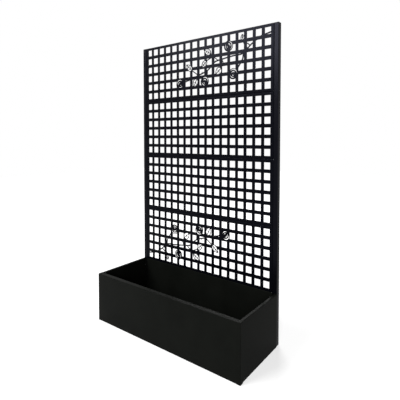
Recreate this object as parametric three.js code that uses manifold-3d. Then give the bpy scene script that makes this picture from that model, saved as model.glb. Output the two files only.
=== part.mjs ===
// Planter with trellis: a box folded from sheet steel, and behind it two square posts that carry
// a stack of laser-cut lattice panels. The lowest and the highest panel have a rose vine cut into
// the lattice.
//
// Millimetres, +Z up, -Y towards the front, +X to the right of someone facing the front.
// The origin is the middle of the footprint, on the ground.

import * as THREE from "three";
import { mergeVertices } from "three/addons/utils/BufferGeometryUtils.js";
import Module from "manifold-3d";

const wasm = await Module();
wasm.setup();

// ---------------------------------------------------------------- driving dimensions

// Lattice panels
const HOLE = 26.4; // side of a square hole
const BAR = 14.2; // bar between two holes
const COLUMNS = 17; // holes across a panel
const ROWS = 6; // holes up a panel
const PANELS = 4; // panels in the stack
const SIDE_BORDER = 13.9; // plain strip beside the outer holes
const END_BORDER = 12.2; // plain strip above and below the holes
const LATTICE_SHEET = 1.5; // thickness of a lattice panel
const FLANGE = 12; // depth of the edges that are folded back
const CORNER_RELIEF = 1; // notch between two folded edges

// Planter box
const BOX_HEIGHT = 203.2;
const BOX_DEPTH = 245; // front face to the face of the lattice
const BOX_PROUD = 3.4; // how far the box stands out past the posts on each side
const SHEET = 1.2; // thickness of the box panels
const FRONT_RIM = 16; // rim folded inwards along the front
const SIDE_RIM = 11; // rim folded inwards along the sides
const RETURN = 17; // end folds of the front panel, outside the side panels
const REAR_FLANGE = 17.5; // rear folds of the side panels, against the posts
const LEDGE = 16; // folds along the ground that carry the floor
const FLOOR_PLAY = 1.5; // room round the floor panel
const FLOOR_LIP = 12; // edges of the floor, folded up along the front and the back
const DRAIN_RADIUS = 5;
const DRAIN_SIDES = 8;
const DRAIN_COLUMNS = 5;
const DRAIN_ROWS = 2;
const DRAIN_PITCH_X = 130;
const DRAIN_PITCH_Y = 110;

// Posts
const POST = 19; // side of the square tube
const POST_WALL = 1.2;
const CAP_PLATE = 2; // part of a cap or foot that shows
const CAP_PLUG = 14; // part of a cap or foot inside the tube
const CAP_PLAY = 0.25; // room round the plug
const CAP_LEAD = 1.5; // taper at the end of the plug

// Fasteners
const THREAD_RADIUS = 2.5;
const THREAD_SIDES = 6; // flat sides that stand for a round thread or hole
const HOLE_PLAY = 0.3; // clearance of a hole round a thread
const HEAD_RADIUS = 4.4;
const HEAD_TOP_RADIUS = 3.2;
const HEAD_HEIGHT = 2.7;
const SCREW_LENGTH = 9;
const BOLT_LENGTH = 11;
const STUD_LENGTH = 9;
const NUT_FLATS = 8; // across flats
const NUT_HEIGHT = 4;
const PANEL_SCREW_INSET = 42; // panel's end to the nearest screw into a post
const BACK_SCREW_INSET = 52;
const SIDE_SCREW_INSET = 34;
const STUD_INSET = 40;
const BOLT_SPREAD = 365.4; // between the two bolts of a seam
const DRILL = 6; // length of the cutter for a hole through one thickness

// Gaps
const SEAM = 0.3; // between two pieces that are screwed face to face

// Rose vine
const STEM_WIDTH = 5;
const TWIG_WIDTH = 3.2;
const ROSE_RADIUS = 22.2;
const ROSE_SIDES = 14;
const PETAL_SLIT = 2.6; // widest part of the slit between two petals
const LEAF_LENGTH = 48; // the longest leaves
const LEAF_WIDTH = 28; // the commonest width
const LEAF_RIM = 2.2; // edge of a leaf, round its openings
const LEAF_RIB = 2; // midrib
const LEAF_VEIN = 2; // between two openings
const LEAF_BELLY = 0.85; // the lower, the nearer a leaf's widest part lies to its base
const LEAF_STEPS = 5; // straight pieces along each side of a leaf
const THORN_LENGTH = 5;
const THORN_BASE = 5;

// ---------------------------------------------------------------- places that follow from them

const PITCH = HOLE + BAR;
const PANEL_WIDTH = COLUMNS * HOLE + (COLUMNS - 1) * BAR + 2 * SIDE_BORDER;
const PANEL_HEIGHT = ROWS * HOLE + (ROWS - 1) * BAR + 2 * END_BORDER;
const WIDTH = PANEL_WIDTH + 2 * (SEAM + POST + BOX_PROUD);
const DEPTH = BOX_DEPTH + POST;
const HEIGHT = BOX_HEIGHT + PANELS * (PANEL_HEIGHT + SEAM);
const FRONT_Y = -DEPTH / 2;
const LATTICE_Y = FRONT_Y + BOX_DEPTH;
const POST_X = PANEL_WIDTH / 2 + SEAM + POST / 2;
const SIDE_X = WIDTH / 2 - SHEET - SEAM; // outer face of a side panel
const FLANGE_MIDDLE = (LATTICE_SHEET + FLANGE) / 2; // fasteners' line, behind the lattice face
const HOLE_RADIUS = (THREAD_RADIUS + HOLE_PLAY) / Math.cos(Math.PI / THREAD_SIDES); // to its corners

// The panels of the stack, from the lowest up, with the height of each one's lower edge.
const PANEL_NAMES = ["rose_panel_low", "lattice_panel_low", "lattice_panel_high", "rose_panel_high"];
const PANEL_BASES = PANEL_NAMES.map((name, i) => BOX_HEIGHT + SEAM + i * (PANEL_HEIGHT + SEAM));
const PANEL_SCREW_HEIGHTS = PANEL_BASES.map((base) => {
  return twoHeights(PANEL_SCREW_INSET, base, base + PANEL_HEIGHT);
});
const BACK_SCREW_HEIGHTS = twoHeights(BACK_SCREW_INSET, 0, BOX_HEIGHT);

// ---------------------------------------------------------------- materials

const powderCoat = new THREE.MeshStandardMaterial({ color: 0x1d1e20, roughness: 0.42, metalness: 0.3 });
const latticeCoat = new THREE.MeshStandardMaterial({ color: 0x1b1c20, roughness: 0.45, metalness: 0.3 });
const plastic = new THREE.MeshStandardMaterial({ color: 0x131314, roughness: 0.6, metalness: 0 });
const fastenerSteel = new THREE.MeshStandardMaterial({ color: 0x242526, roughness: 0.35, metalness: 0.8 });

// ---------------------------------------------------------------- solids

const planter = new THREE.Group();

function solidOf(geometry) {
  const bare = geometry.clone();
  bare.deleteAttribute("normal");
  bare.deleteAttribute("uv");
  const merged = mergeVertices(bare);
  const vertProperties = merged.attributes.position.array;
  const triVerts = Uint32Array.from(merged.index.array);
  return new wasm.Manifold(new wasm.Mesh({ numProp: 3, vertProperties, triVerts }));
}

function geometryOf(solid) {
  const mesh = solid.getMesh();
  const geometry = new THREE.BufferGeometry();
  geometry.setAttribute("position", new THREE.BufferAttribute(mesh.vertProperties, 3));
  geometry.setIndex(new THREE.BufferAttribute(mesh.triVerts, 1));
  geometry.computeVertexNormals();
  return geometry;
}

function joinedTo(solid, geometries) {
  return geometries.map(solidOf).reduce((whole, next) => whole.add(next), solid);
}

function joined([first, ...others]) {
  return joinedTo(solidOf(first), others);
}

function cutBy(solid, geometries) {
  return geometries.map(solidOf).reduce((rest, cutter) => rest.subtract(cutter), solid);
}

function block([x0, x1], [y0, y1], [z0, z1]) {
  const geometry = new THREE.BoxGeometry(x1 - x0, y1 - y0, z1 - z0);
  return geometry.translate((x0 + x1) / 2, (y0 + y1) / 2, (z0 + z1) / 2);
}

function rod(axis, radius, length, [x, y, z], sides = THREAD_SIDES) {
  const geometry = new THREE.CylinderGeometry(radius, radius, length, sides);
  if (axis === "x") {
    geometry.rotateZ(Math.PI / 2);
  }
  if (axis === "z") {
    geometry.rotateX(Math.PI / 2);
  }
  return geometry.translate(x, y, z);
}

function place(name, geometry, material, position = [0, 0, 0], rotation = [0, 0, 0]) {
  const mesh = new THREE.Mesh(geometry, material);
  mesh.name = name;
  mesh.position.set(...position);
  mesh.rotation.set(...rotation);
  planter.add(mesh);
}

// Both sides of the planter, with the sign of their X.
const SIDES = [
  { side: "left", sign: -1 },
  { side: "right", sign: 1 },
];

// ---------------------------------------------------------------- fasteners

// A screw or bolt stands on the Z axis, with its head above z = 0 and its thread below.
function panHead(length) {
  const profile = [
    new THREE.Vector2(0, -length),
    new THREE.Vector2(THREAD_RADIUS, -length),
    new THREE.Vector2(THREAD_RADIUS, 0),
    new THREE.Vector2(HEAD_RADIUS, 0),
    new THREE.Vector2(HEAD_TOP_RADIUS, HEAD_HEIGHT),
    new THREE.Vector2(0, HEAD_HEIGHT),
  ];
  return new THREE.LatheGeometry(profile, THREAD_SIDES).rotateX(Math.PI / 2);
}

function hexNut() {
  const corner = NUT_FLATS / Math.sqrt(3);
  const outline = new THREE.Shape(ring(6, corner));
  outline.holes.push(new THREE.Path(ring(THREAD_SIDES, HOLE_RADIUS)));
  return new THREE.ExtrudeGeometry(outline, { depth: NUT_HEIGHT, bevelEnabled: false });
}

function ring(count, radius, [x, y] = [0, 0]) {
  const points = [];
  for (let i = 0; i < count; i += 1) {
    const angle = (2 * Math.PI * i) / count;
    points.push(new THREE.Vector2(x + radius * Math.cos(angle), y + radius * Math.sin(angle)));
  }
  return points;
}

// ---------------------------------------------------------------- planter box

// The span from one distance to another, on the side that the sign gives.
function span(sign, a, b) {
  return [Math.min(sign * a, sign * b), Math.max(sign * a, sign * b)];
}

// Heights of the two fasteners of a joint, each the same inset from an end.
function twoHeights(inset, low, high) {
  return [low + inset, high - inset];
}

const LEDGE_END = SIDE_X - LEDGE - SEAM; // where the ledges of the side panels begin
const RIM_LINE = FRONT_Y + FRONT_RIM; // inner edge of the front rim
const STUD_Y = FRONT_Y + RETURN / 2;
const STUD_HEIGHTS = twoHeights(STUD_INSET, 0, BOX_HEIGHT);
const SIDE_SCREW_HEIGHTS = twoHeights(SIDE_SCREW_INSET, 0, BOX_HEIGHT);

function frontPanel() {
  const end = WIDTH / 2;
  const face = block([-end, end], [FRONT_Y, FRONT_Y + SHEET], [0, BOX_HEIGHT]);
  const rim = block([-end, end], [FRONT_Y, RIM_LINE], [BOX_HEIGHT - SHEET, BOX_HEIGHT]);
  const ledge = block([-LEDGE_END, LEDGE_END], [FRONT_Y, FRONT_Y + LEDGE], [0, SHEET]);
  const ends = SIDES.flatMap(({ sign }) => {
    const fold = block(span(sign, end - SHEET, end), [FRONT_Y, FRONT_Y + RETURN], [0, BOX_HEIGHT]);
    const rooted = STUD_LENGTH + SHEET / 2;
    const studX = sign * (end - SHEET / 2 - rooted / 2);
    const studs = STUD_HEIGHTS.map((z) => rod("x", THREAD_RADIUS, rooted, [studX, STUD_Y, z]));
    return [fold, ...studs];
  });
  return geometryOf(joined([face, rim, ledge, ...ends]));
}

function sidePanel(sign) {
  const front = FRONT_Y + SHEET + SEAM;
  const back = LATTICE_Y - SEAM;
  const top = [BOX_HEIGHT - SHEET, BOX_HEIGHT];
  const panel = joined([
    block(span(sign, SIDE_X - SHEET, SIDE_X), [front, back], [0, BOX_HEIGHT]),
    block(span(sign, SIDE_X - SIDE_RIM, SIDE_X), [RIM_LINE + SEAM, back], top),
    block(span(sign, SIDE_X - REAR_FLANGE, SIDE_X), [back - SHEET, back], [0, BOX_HEIGHT]),
    block(span(sign, SIDE_X - LEDGE, SIDE_X), [front, back], [0, SHEET]),
  ]);
  const underRim = block(
    span(sign, SIDE_X - 2 * SHEET, SIDE_X + SHEET),
    [FRONT_Y, RIM_LINE + SEAM],
    [BOX_HEIGHT - SHEET - SEAM, BOX_HEIGHT + SHEET],
  );
  const studHoles = STUD_HEIGHTS.map((z) => {
    return rod("x", HOLE_RADIUS, DRILL, [sign * (SIDE_X - SHEET / 2), STUD_Y, z]);
  });
  const screwHoles = SIDE_SCREW_HEIGHTS.map((z) => {
    return rod("y", HOLE_RADIUS, DRILL, [sign * POST_X, back - SHEET / 2, z]);
  });
  return geometryOf(cutBy(panel, [underRim, ...studHoles, ...screwHoles]));
}

function backPanel() {
  const end = PANEL_WIDTH / 2;
  const top = [BOX_HEIGHT - SHEET, BOX_HEIGHT];
  const folds = SIDES.map(({ sign }) => {
    const height = [0, BOX_HEIGHT - SHEET - CORNER_RELIEF];
    return block(span(sign, end - SHEET, end), [LATTICE_Y, LATTICE_Y + FLANGE], height);
  });
  const shelfEnd = end - SHEET - CORNER_RELIEF;
  const ledgeEnd = Math.min(end, LEDGE_END);
  const panel = joined([
    block([-end, end], [LATTICE_Y, LATTICE_Y + SHEET], [0, BOX_HEIGHT]),
    block([-shelfEnd, shelfEnd], [LATTICE_Y, LATTICE_Y + FLANGE], top),
    block([-ledgeEnd, ledgeEnd], [LATTICE_Y - LEDGE, LATTICE_Y + SHEET], [0, SHEET]),
    ...folds,
  ]);
  const screwHoles = SIDES.flatMap(({ sign }) => BACK_SCREW_HEIGHTS.map((z) => {
    return rod("x", HOLE_RADIUS, DRILL, [sign * (end - SHEET / 2), LATTICE_Y + FLANGE_MIDDLE, z]);
  }));
  const boltHoles = SIDES.map(({ sign }) => {
    const middle = [sign * BOLT_SPREAD / 2, LATTICE_Y + FLANGE_MIDDLE, BOX_HEIGHT - SHEET / 2];
    return rod("z", HOLE_RADIUS, DRILL, middle);
  });
  return geometryOf(cutBy(panel, [...screwHoles, ...boltHoles]));
}

function floorPanel() {
  const end = SIDE_X - SHEET - FLOOR_PLAY;
  const front = FRONT_Y + SHEET + FLOOR_PLAY;
  const back = LATTICE_Y - SEAM - SHEET - FLOOR_PLAY;
  const lip = [SHEET, SHEET + FLOOR_LIP];
  const panel = joined([
    block([-end, end], [front, back], [SHEET, 2 * SHEET]),
    block([-end, end], [front, front + SHEET], lip),
    block([-end, end], [back - SHEET, back], lip),
  ]);
  const drains = [];
  for (let column = 0; column < DRAIN_COLUMNS; column += 1) {
    for (let row = 0; row < DRAIN_ROWS; row += 1) {
      const x = (column - (DRAIN_COLUMNS - 1) / 2) * DRAIN_PITCH_X;
      const y = (front + back) / 2 + (row - (DRAIN_ROWS - 1) / 2) * DRAIN_PITCH_Y;
      drains.push(rod("z", DRAIN_RADIUS, DRILL, [x, y, SHEET], DRAIN_SIDES));
    }
  }
  return geometryOf(cutBy(panel, drains));
}

// ---------------------------------------------------------------- posts, caps and feet

function squarePath(PathClass, side) {
  const half = side / 2;
  const corners = [[-half, -half], [half, -half], [half, half], [-half, half]];
  return new PathClass(corners.map(([x, y]) => new THREE.Vector2(x, y)));
}

function post(sign) {
  const section = squarePath(THREE.Shape, POST);
  section.holes.push(squarePath(THREE.Path, POST - 2 * POST_WALL));
  const length = HEIGHT - 2 * CAP_PLATE;
  const tube = new THREE.ExtrudeGeometry(section, { depth: length, bevelEnabled: false });
  tube.translate(sign * POST_X, LATTICE_Y + POST / 2, CAP_PLATE);
  const innerWall = sign * (POST_X - POST / 2 + POST_WALL / 2);
  const fromInside = [...BACK_SCREW_HEIGHTS, ...PANEL_SCREW_HEIGHTS.flat()].map((z) => {
    return rod("x", HOLE_RADIUS, DRILL, [innerWall, LATTICE_Y + FLANGE_MIDDLE, z]);
  });
  const fromFront = SIDE_SCREW_HEIGHTS.map((z) => {
    return rod("y", HOLE_RADIUS, DRILL, [sign * POST_X, LATTICE_Y + POST_WALL / 2, z]);
  });
  return geometryOf(cutBy(solidOf(tube), [...fromInside, ...fromFront]));
}

// A moulded plug that closes the tube: a plate with a tapered block below it.
function cap() {
  const blockSide = POST - 2 * POST_WALL - 2 * CAP_PLAY;
  const plate = block([-POST / 2, POST / 2], [-POST / 2, POST / 2], [-CAP_PLATE, 0]);
  const straight = CAP_PLUG - CAP_LEAD;
  const body = block(
    [-blockSide / 2, blockSide / 2],
    [-blockSide / 2, blockSide / 2],
    [-CAP_PLATE - straight, -CAP_PLATE / 2],
  );
  const corner = blockSide / Math.SQRT2;
  const lead = new THREE.CylinderGeometry(corner, corner - CAP_LEAD, CAP_LEAD, 4);
  lead.rotateY(Math.PI / 4).rotateX(Math.PI / 2);
  lead.translate(0, 0, -CAP_PLATE - straight - CAP_LEAD / 2);
  return geometryOf(joined([plate, body, lead]));
}

// ---------------------------------------------------------------- rose vine

// Places on the vine are given as column and row of the lattice, column 0 being the hole at the
// left and row 0 the highest. Angles are in degrees, counterclockwise from +X.
function onLattice([column, row]) {
  const x = (column - (COLUMNS - 1) / 2) * PITCH;
  const y = ((ROWS - 1) / 2 - row) * PITCH;
  return new THREE.Vector2(x, y);
}

const ROSES = [
  { centre: [11.46, 0.76], turn: 20 },
  { centre: [12.05, 3.55], turn: 35 },
  { centre: [8.38, 4.0], turn: 300 },
  { centre: [4.84, 3.98], turn: 75 },
];

// The slits that part the petals of a rose, from the outermost in. Each follows an arc, at a share
// of the rose's radius.
const PETALS = [
  { share: 0.8, start: 0, sweep: 153, steps: 5 },
  { share: 0.62, start: 189, sweep: 144, steps: 4 },
  { share: 0.3, start: 72, sweep: 198, steps: 4 },
];

// A leaf's heading runs from its base to its tip. Long and wide are shares of the usual size.
const LEAVES = [
  { base: [9.27, 1.27], heading: 150, long: 1, wide: 1, veins: 3 },
  { base: [8.7, 1.85], heading: 221, long: 0.88, wide: 0.96, veins: 3 },
  { base: [6.66, 2.74], heading: 138, long: 1, wide: 0.96, veins: 3 },
  { base: [7.34, 3.52], heading: 242, long: 0.96, wide: 1.04, veins: 2 },
  { base: [10.62, 2.78], heading: 218, long: 0.88, wide: 1.1, veins: 2 },
  { base: [13.2, 0.5], heading: 97, long: 0.58, wide: 0.68, veins: 2 },
];

const STEMS = [
  // the main stem, in from the right-hand border
  [[16.5, 0.12], [15.2, 0.42], [14.2, 0.95], [13.2, 1.7], [12.1, 1.79], [10.9, 1.93], [9.7, 2.14],
    [8.8, 2.86], [7.3, 3.34], [5.3, 3.9]],
  // its branch to the rose on the right
  [[13.25, 1.66], [13.14, 2.3], [12.45, 3.2]],
];

const TWIGS = [
  [[11.3, 1.85], [11.55, 1.5], [11.5, 1.1]], // to the highest rose
  [[8.75, 2.9], [8.72, 3.3], [8.5, 3.7]], // to the rose in the middle
  [[7.5, 3.3], [7.1, 3.0], [6.55, 2.66]], // the next four each hold a leaf
  [[10.2, 2.05], [9.5, 1.62], [8.62, 1.88]],
  [[9.6, 1.66], [9.45, 1.45], [9.15, 1.2]],
  [[7.35, 3.3], [7.32, 3.45], [7.26, 3.66]],
  [[10.6, 1.95], [10.78, 2.35], [10.52, 2.86]],
  [[13.75, 1.28], [13.4, 0.9], [13.2, 0.42]], // to the small leaf near the top
  [[14.0, 1.08], [13.8, 0.85], [13.5, 0.76]], // ends bare
];

// Each thorn stands on a point of the main stem.
const THORNS = [
  { foot: [15.2, 0.42], heading: 60 },
  { foot: [12.6, 1.62], heading: 250 },
  { foot: [9.9, 2.1], heading: 130 },
  { foot: [8.0, 3.12], heading: 80 },
  { foot: [6.2, 3.64], heading: 260 },
];

function polar(centre, radius, angle) {
  return new THREE.Vector2(centre.x + radius * Math.cos(angle), centre.y + radius * Math.sin(angle));
}

// A strip of even width along a smooth curve.
function ribbon(places, width, stepsPerPlace) {
  const points = places.map(onLattice);
  const curve = new THREE.SplineCurve(points);
  const steps = (points.length - 1) * stepsPerPlace;
  const left = [];
  const right = [];
  for (let i = 0; i <= steps; i += 1) {
    const middle = curve.getPoint(i / steps);
    const along = curve.getTangent(i / steps);
    const aside = new THREE.Vector2(-along.y, along.x).multiplyScalar(width / 2);
    left.push(middle.clone().add(aside));
    right.unshift(middle.clone().sub(aside));
  }
  return [...left, ...right];
}

function thorn({ foot, heading }) {
  const middle = onLattice(foot);
  const angle = THREE.MathUtils.degToRad(heading);
  return [
    polar(middle, THORN_BASE / 2, angle - Math.PI / 2),
    polar(middle, STEM_WIDTH / 2 + THORN_LENGTH, angle),
    polar(middle, THORN_BASE / 2, angle + Math.PI / 2),
  ];
}

// A slit that follows an arc and comes to a point at both ends.
function crescent(centre, radius, from, sweep, steps) {
  const outer = [];
  const inner = [];
  for (let i = 0; i <= steps; i += 1) {
    const part = i / steps;
    const angle = from + sweep * part;
    const half = (PETAL_SLIT / 2) * Math.sin(Math.PI * part);
    outer.push(polar(centre, radius + half, angle));
    if (i > 0 && i < steps) {
      inner.unshift(polar(centre, radius - half, angle));
    }
  }
  return [...outer, ...inner];
}

function petalSlits({ centre, turn }) {
  return PETALS.map(({ share, start, sweep, steps }) => {
    const from = THREE.MathUtils.degToRad(turn + start);
    const arc = THREE.MathUtils.degToRad(sweep);
    return crescent(onLattice(centre), ROSE_RADIUS * share, from, arc, steps);
  });
}

// Half the width of a leaf, at a share of its length from the base.
function leafHalfWidth({ wide }, share) {
  return ((wide * LEAF_WIDTH) / 2) * Math.sin(Math.PI * share ** LEAF_BELLY);
}

function leafPoint({ base, heading, long }, share, across) {
  const root = onLattice(base);
  const point = new THREE.Vector2(share * long * LEAF_LENGTH, across);
  return point.rotateAround(new THREE.Vector2(), THREE.MathUtils.degToRad(heading)).add(root);
}

function leafOutline(leaf) {
  const left = [];
  const right = [];
  for (let i = 1; i < LEAF_STEPS; i += 1) {
    const share = i / LEAF_STEPS;
    const half = leafHalfWidth(leaf, share);
    left.push(leafPoint(leaf, share, half));
    right.unshift(leafPoint(leaf, share, -half));
  }
  return [leafPoint(leaf, 0, 0), ...left, leafPoint(leaf, 1, 0), ...right].reverse();
}

// The openings between the midrib, the veins and the edge of a leaf.
function leafOpenings(leaf) {
  const openings = [];
  const lean = 0.14; // a vein's outer end lies up to this share nearer the tip
  const first = 0.1; // where the openings begin along the leaf
  const last = 0.82; // where they end
  const vein = LEAF_VEIN / (leaf.long * LEAF_LENGTH);
  const pitch = (last - first) / leaf.veins;
  for (let i = 0; i < leaf.veins; i += 1) {
    const from = first + i * pitch + vein / 2;
    const to = first + (i + 1) * pitch - vein / 2;
    const shift = lean * (1 - i / leaf.veins);
    for (const side of [-1, 1]) {
      const rib = (side * LEAF_RIB) / 2;
      const edge = (share) => side * (leafHalfWidth(leaf, share) - LEAF_RIM);
      openings.push([
        leafPoint(leaf, from, rib),
        leafPoint(leaf, to, rib),
        leafPoint(leaf, to + shift, edge(to + shift)),
        leafPoint(leaf, from + shift, edge(from + shift)),
      ]);
    }
  }
  return openings;
}

// ---------------------------------------------------------------- lattice panels

// A lattice panel lies with its middle at the origin and its face on z = 0, folded towards -z.
function sheetOf(outline) {
  const depth = LATTICE_SHEET;
  const geometry = new THREE.ExtrudeGeometry(new THREE.Shape(outline), { depth, bevelEnabled: false });
  return geometry.translate(0, 0, -depth);
}

function throughSheet(outline) {
  const depth = 3 * LATTICE_SHEET;
  const geometry = new THREE.ExtrudeGeometry(new THREE.Shape(outline), { depth, bevelEnabled: false });
  return geometry.translate(0, 0, -2 * LATTICE_SHEET);
}

function rectangle(width, height, { x, y }) {
  return [
    new THREE.Vector2(x - width / 2, y - height / 2),
    new THREE.Vector2(x + width / 2, y - height / 2),
    new THREE.Vector2(x + width / 2, y + height / 2),
    new THREE.Vector2(x - width / 2, y + height / 2),
  ];
}

function latticeFace() {
  const holes = [];
  for (let column = 0; column < COLUMNS; column += 1) {
    for (let row = 0; row < ROWS; row += 1) {
      holes.push(rectangle(HOLE, HOLE, onLattice([column, row])));
    }
  }
  const plate = sheetOf(rectangle(PANEL_WIDTH, PANEL_HEIGHT, { x: 0, y: 0 }));
  return cutBy(solidOf(plate), holes.map(throughSheet));
}

function latticePanel(withVine) {
  const endX = PANEL_WIDTH / 2;
  const endY = PANEL_HEIGHT / 2;
  const shortX = endX - LATTICE_SHEET - CORNER_RELIEF;
  const shortY = endY - LATTICE_SHEET - CORNER_RELIEF;
  const fold = [-FLANGE, 0];
  const pieces = [];
  const cuts = [];
  for (const sign of [-1, 1]) {
    pieces.push(block([-shortX, shortX], span(sign, endY - LATTICE_SHEET, endY), fold));
    pieces.push(block(span(sign, endX - LATTICE_SHEET, endX), [-shortY, shortY], fold));
    for (const other of [-1, 1]) {
      const boltPlace = [other * BOLT_SPREAD / 2, sign * (endY - LATTICE_SHEET / 2), -FLANGE_MIDDLE];
      const screwPlace = [
        sign * (endX - LATTICE_SHEET / 2),
        other * (endY - PANEL_SCREW_INSET),
        -FLANGE_MIDDLE,
      ];
      cuts.push(rod("y", HOLE_RADIUS, DRILL, boltPlace));
      cuts.push(rod("x", HOLE_RADIUS, DRILL, screwPlace));
    }
  }
  if (withVine) {
    const vine = [
      ...STEMS.map((places) => ribbon(places, STEM_WIDTH, 2)),
      ...TWIGS.map((places) => ribbon(places, TWIG_WIDTH, 1)),
      ...THORNS.map(thorn),
      ...ROSES.map(({ centre }) => ring(ROSE_SIDES, ROSE_RADIUS, onLattice(centre).toArray())),
      ...LEAVES.map(leafOutline),
    ];
    pieces.push(...vine.map(sheetOf));
    cuts.push(...ROSES.flatMap(petalSlits).map(throughSheet));
    cuts.push(...LEAVES.flatMap(leafOpenings).map(throughSheet));
  }
  return geometryOf(cutBy(joinedTo(latticeFace(), pieces), cuts));
}

// ---------------------------------------------------------------- assembly

// A fastener whose thread points away from the middle of the planter, along X.
function outwards(sign) {
  return [0, (-sign * Math.PI) / 2, 0];
}

function placeBox() {
  place("front_panel", frontPanel(), powderCoat);
  place("back_panel", backPanel(), powderCoat);
  place("floor_panel", floorPanel(), powderCoat);
  for (const { side, sign } of SIDES) {
    place(`${side}_side_panel`, sidePanel(sign), powderCoat);
  }
}

function placePosts() {
  for (const { side, sign } of SIDES) {
    const middle = [sign * POST_X, LATTICE_Y + POST / 2];
    place(`${side}_post`, post(sign), powderCoat);
    place(`${side}_post_cap`, cap(), plastic, [...middle, HEIGHT]);
    place(`${side}_post_foot`, cap(), plastic, [...middle, 0], [Math.PI, 0, 0]);
  }
}

function placeTrellis() {
  PANEL_NAMES.forEach((name, i) => {
    const withVine = name.startsWith("rose");
    const geometry = latticePanel(withVine);
    if (withVine && i === 0) {
      geometry.rotateZ(Math.PI); // the lowest panel is the highest one, upside down
    }
    const middle = PANEL_BASES[i] + PANEL_HEIGHT / 2;
    place(name, geometry, latticeCoat, [0, LATTICE_Y, middle], [Math.PI / 2, 0, 0]);
  });
}

// Screws through the folded side edges of a panel into both posts.
function placePostScrews(panelName, thickness, heights) {
  for (const { side, sign } of SIDES) {
    heights.forEach((z, i) => {
      const name = `${panelName}_${side}_screw_${i + 1}`;
      const position = [sign * (PANEL_WIDTH / 2 - thickness - SEAM), LATTICE_Y + FLANGE_MIDDLE, z];
      place(name, panHead(SCREW_LENGTH), fastenerSteel, position, outwards(sign));
    });
  }
}

// Bolts down through the two folded edges that meet at a seam, each with its nut.
function placeSeamBolts(name, base, lowerThickness) {
  for (const { side, sign } of SIDES) {
    const middle = [(sign * BOLT_SPREAD) / 2, LATTICE_Y + FLANGE_MIDDLE];
    const headSeat = base + LATTICE_SHEET + SEAM;
    const nutBase = base - SEAM - lowerThickness - SEAM - NUT_HEIGHT;
    place(`${name}_${side}_bolt`, panHead(BOLT_LENGTH), fastenerSteel, [...middle, headSeat]);
    place(`${name}_${side}_nut`, hexNut(), fastenerSteel, [...middle, nutBase]);
  }
}

function placeBoxFasteners() {
  for (const { side, sign } of SIDES) {
    STUD_HEIGHTS.forEach((z, i) => {
      const position = [sign * (SIDE_X - SHEET - SEAM), STUD_Y, z];
      place(`${side}_corner_nut_${i + 1}`, hexNut(), fastenerSteel, position, outwards(sign));
    });
    SIDE_SCREW_HEIGHTS.forEach((z, i) => {
      const name = `${side}_side_panel_screw_${i + 1}`;
      const position = [sign * POST_X, LATTICE_Y - 2 * SEAM - SHEET, z];
      place(name, panHead(SCREW_LENGTH), fastenerSteel, position, [Math.PI / 2, 0, 0]);
    });
  }
}

placeBox();
placePosts();
placeTrellis();
placePostScrews("back_panel", SHEET, BACK_SCREW_HEIGHTS);
PANEL_NAMES.forEach((name, i) => {
  placePostScrews(name, LATTICE_SHEET, PANEL_SCREW_HEIGHTS[i]);
  placeSeamBolts(`seam_${i + 1}`, PANEL_BASES[i], i === 0 ? SHEET : LATTICE_SHEET);
});
placeBoxFasteners();

export default planter;
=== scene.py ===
"""Looks of the planter with trellis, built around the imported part.

Metres, in the part's frame: +Z up, -Y towards the front, +X to the right of someone facing it.
"""

import math

import bmesh
import bpy
from mathutils import Matrix, Vector
from mathutils.geometry import delaunay_2d_cdt


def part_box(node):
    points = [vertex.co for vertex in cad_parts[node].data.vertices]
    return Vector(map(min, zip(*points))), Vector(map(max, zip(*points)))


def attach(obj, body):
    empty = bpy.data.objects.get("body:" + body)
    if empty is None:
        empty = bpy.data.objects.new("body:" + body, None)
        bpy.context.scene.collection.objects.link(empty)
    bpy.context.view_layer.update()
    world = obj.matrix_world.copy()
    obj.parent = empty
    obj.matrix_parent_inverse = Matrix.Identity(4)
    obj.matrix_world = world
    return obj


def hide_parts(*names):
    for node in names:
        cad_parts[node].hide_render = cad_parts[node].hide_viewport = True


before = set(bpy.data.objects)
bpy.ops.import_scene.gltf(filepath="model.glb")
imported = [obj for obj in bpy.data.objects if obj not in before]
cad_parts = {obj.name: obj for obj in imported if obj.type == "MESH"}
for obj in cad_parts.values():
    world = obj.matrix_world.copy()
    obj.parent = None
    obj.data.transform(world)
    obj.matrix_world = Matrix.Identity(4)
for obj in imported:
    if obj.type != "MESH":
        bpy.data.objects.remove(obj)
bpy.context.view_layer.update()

MM = 0.001

# ---------------------------------------------------------------- sizes that the frame doesn't give

# Lattice
HOLE = 26.4 * MM
BAR = 14.2 * MM
PITCH = HOLE + BAR
COLUMNS = 17
ROWS = 6

# Sheets and tubes
LATTICE_SHEET = 1.5 * MM
BOX_SHEET = 1.2 * MM
POST_WALL = 1.2 * MM
BEND = 0.4 * MM  # inner radius of a folded edge
BEND_STEPS = 4
LATTICE_BEND = BEND + LATTICE_SHEET  # outer radius of a lattice panel's folds
LATTICE_ARC = LATTICE_BEND * math.pi / 2  # length of sheet that such a fold takes up
RELIEF = 1.8 * MM  # square notch between two folds of the back panel
SLIT = 0.14 * MM  # parts two folds that meet behind a corner
CUT_EDGE = 0.22 * MM  # rounding that the coat gives to a cut edge
SHORTEST_ROUNDED = 0.5 * MM  # a shorter cut stays crisp
TUBE_CORNER = 1.6 * MM
TUBE_CORNER_STEPS = 5

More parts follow.
